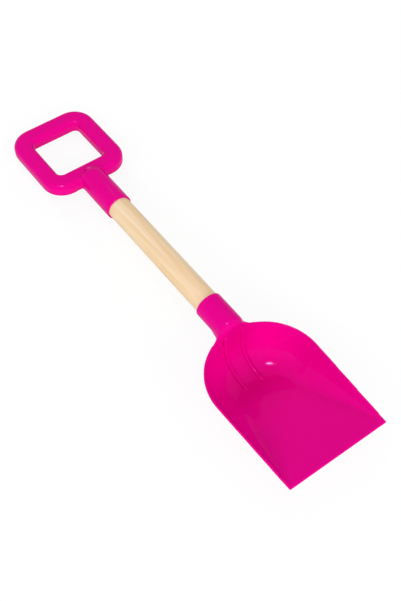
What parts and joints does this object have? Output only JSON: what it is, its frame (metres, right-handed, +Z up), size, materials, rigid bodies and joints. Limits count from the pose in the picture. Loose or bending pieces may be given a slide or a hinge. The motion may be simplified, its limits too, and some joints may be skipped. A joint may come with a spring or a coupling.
{
  "type": "sand shovel",
  "caption": "Child's sand shovel: a deep square-tipped plastic scoop and a plastic loop grip, each with a socket, joined by a plain wooden dowel.",
  "frame": {"origin": "on the ground, under the middle of the shovel as it lies hollow side up on the heel of the scoop and the far edge of the grip", "axes": "+X along the shovel from the grip to the scoop's tip, +Z up, +Y to the left of someone who looks along +X"},
  "size_m": [0.395, 0.0938, 0.0479],
  "materials": {
    "pink_plastic": "glossy moulded hot pink",
    "dowel_wood": "smooth sanded pale wood",
    "screw_steel": "zinc-plated"
  },
  "bodies": {
    "root": {"grip": "pink_plastic", "shaft": "dowel_wood", "scoop": "pink_plastic", "fixing_screws": "screw_steel"}
  },
  "joints": []
}
